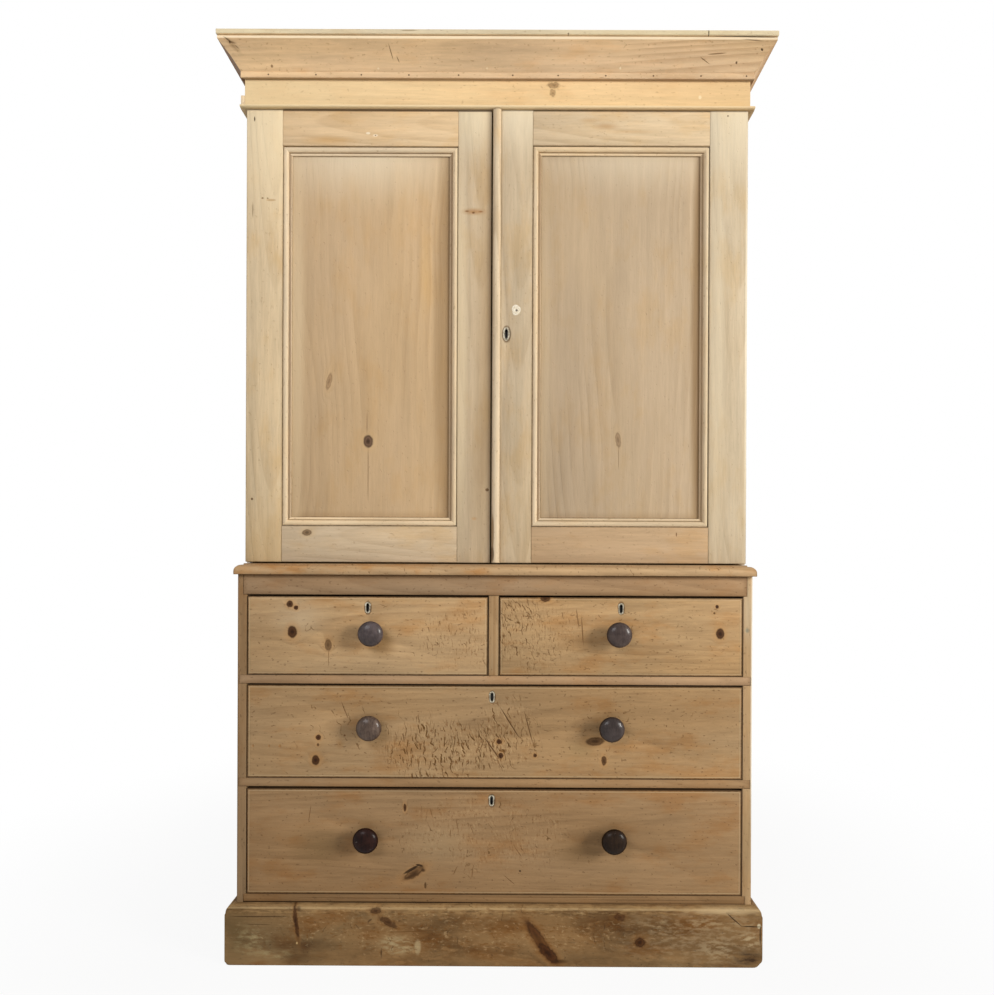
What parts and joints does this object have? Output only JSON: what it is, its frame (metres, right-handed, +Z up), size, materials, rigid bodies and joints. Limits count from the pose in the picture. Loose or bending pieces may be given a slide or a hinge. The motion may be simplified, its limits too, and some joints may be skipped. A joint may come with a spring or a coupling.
{
  "type": "linen press",
  "caption": "Tall pine linen press: a cupboard with panelled doors, shelves and a moulded cornice, on a chest of drawers with round knobs and a plinth.",
  "frame": {"origin": "centre of the bounding box at floor level", "axes": "+Z up, -Y towards the front, +X to the right as seen from the front"},
  "size_m": [1.27, 0.577, 2.1202],
  "materials": {
    "cupboard_pine": "waxed, pale",
    "chest_pine": "waxed, golden brown",
    "plinth_pine": "waxed, worn, dark",
    "inner_pine": "bare",
    "knob_wood": "dark stain, polished",
    "brass": "dull, aged"
  },
  "bodies": {
    "carcase": {"plinth": "plinth_pine", "chest_left_side": "chest_pine", "chest_right_side": "chest_pine", "chest_bottom": "chest_pine", "lower_drawer_rail": "chest_pine", "upper_drawer_rail": "chest_pine", "drawer_divider": "chest_pine", "chest_top_rail": "chest_pine", "chest_back": "inner_pine", "waist_board": "chest_pine", "cupboard_left_side": "cupboard_pine", "cupboard_right_side": "cupboard_pine", "cupboard_floor": "inner_pine", "cupboard_ceiling": "inner_pine", "shelf_1": "inner_pine", "shelf_2": "inner_pine", "cupboard_back": "inner_pine", "frieze": "cupboard_pine", "cornice": "cupboard_pine", "left_door_lower_case_leaf": "brass", "left_door_upper_case_leaf": "brass", "right_door_lower_case_leaf": "brass", "right_door_upper_case_leaf": "brass"},
    "left_door": {"left_door_hinge_stile": "cupboard_pine", "left_door_meeting_stile": "cupboard_pine", "left_door_bottom_rail": "cupboard_pine", "left_door_top_rail": "cupboard_pine", "left_door_panel": "cupboard_pine", "left_door_panel_moulding": "cupboard_pine", "left_door_lower_hinge_leaf": "brass", "left_door_upper_hinge_leaf": "brass"},
    "right_door": {"right_door_hinge_stile": "cupboard_pine", "right_door_meeting_stile": "cupboard_pine", "right_door_bottom_rail": "cupboard_pine", "right_door_top_rail": "cupboard_pine", "right_door_panel": "cupboard_pine", "right_door_panel_moulding": "cupboard_pine", "right_door_meeting_bead": "cupboard_pine", "right_door_lower_hinge_leaf": "brass", "right_door_upper_hinge_leaf": "brass", "door_lock": "brass"},
    "lock_bolt": {"door_lock_bolt": "brass"},
    "short_left_drawer": {"short_left_drawer_front": "chest_pine", "short_left_drawer_box": "inner_pine", "short_left_drawer_lock": "brass", "short_left_drawer_knob": "knob_wood"},
    "short_right_drawer": {"short_right_drawer_front": "chest_pine", "short_right_drawer_box": "inner_pine", "short_right_drawer_lock": "brass", "short_right_drawer_knob": "knob_wood"},
    "upper_long_drawer": {"upper_long_drawer_front": "chest_pine", "upper_long_drawer_box": "inner_pine", "upper_long_drawer_lock": "brass", "upper_long_drawer_left_knob": "knob_wood", "upper_long_drawer_right_knob": "knob_wood"},
    "lower_long_drawer": {"lower_long_drawer_front": "chest_pine", "lower_long_drawer_box": "inner_pine", "lower_long_drawer_lock": "brass", "lower_long_drawer_left_knob": "knob_wood", "lower_long_drawer_right_knob": "knob_wood"}
  },
  "joints": [
    {"name": "left_door_hinge", "type": "hinge", "parent": "carcase", "child": "left_door", "pos_m": [-0.586, -0.211, 1.4], "axis": [0, 0, -1], "range_deg": [0, 170]},
    {"name": "right_door_hinge", "type": "hinge", "parent": "carcase", "child": "right_door", "pos_m": [0.586, -0.211, 1.4], "axis": [0, 0, 1], "range_deg": [0, 170]},
    {"name": "lock_bolt_slide", "type": "slide", "parent": "right_door", "child": "lock_bolt", "axis": [-1, 0, 0], "range_m": [0, 0.012]},
    {"name": "short_left_drawer_slide", "type": "slide", "parent": "carcase", "child": "short_left_drawer", "axis": [0, -1, 0], "range_m": [0, 0.4]},
    {"name": "short_right_drawer_slide", "type": "slide", "parent": "carcase", "child": "short_right_drawer", "axis": [0, -1, 0], "range_m": [0, 0.4]},
    {"name": "upper_long_drawer_slide", "type": "slide", "parent": "carcase", "child": "upper_long_drawer", "axis": [0, -1, 0], "range_m": [0, 0.4]},
    {"name": "lower_long_drawer_slide", "type": "slide", "parent": "carcase", "child": "lower_long_drawer", "axis": [0, -1, 0], "range_m": [0, 0.4]}
  ]
}
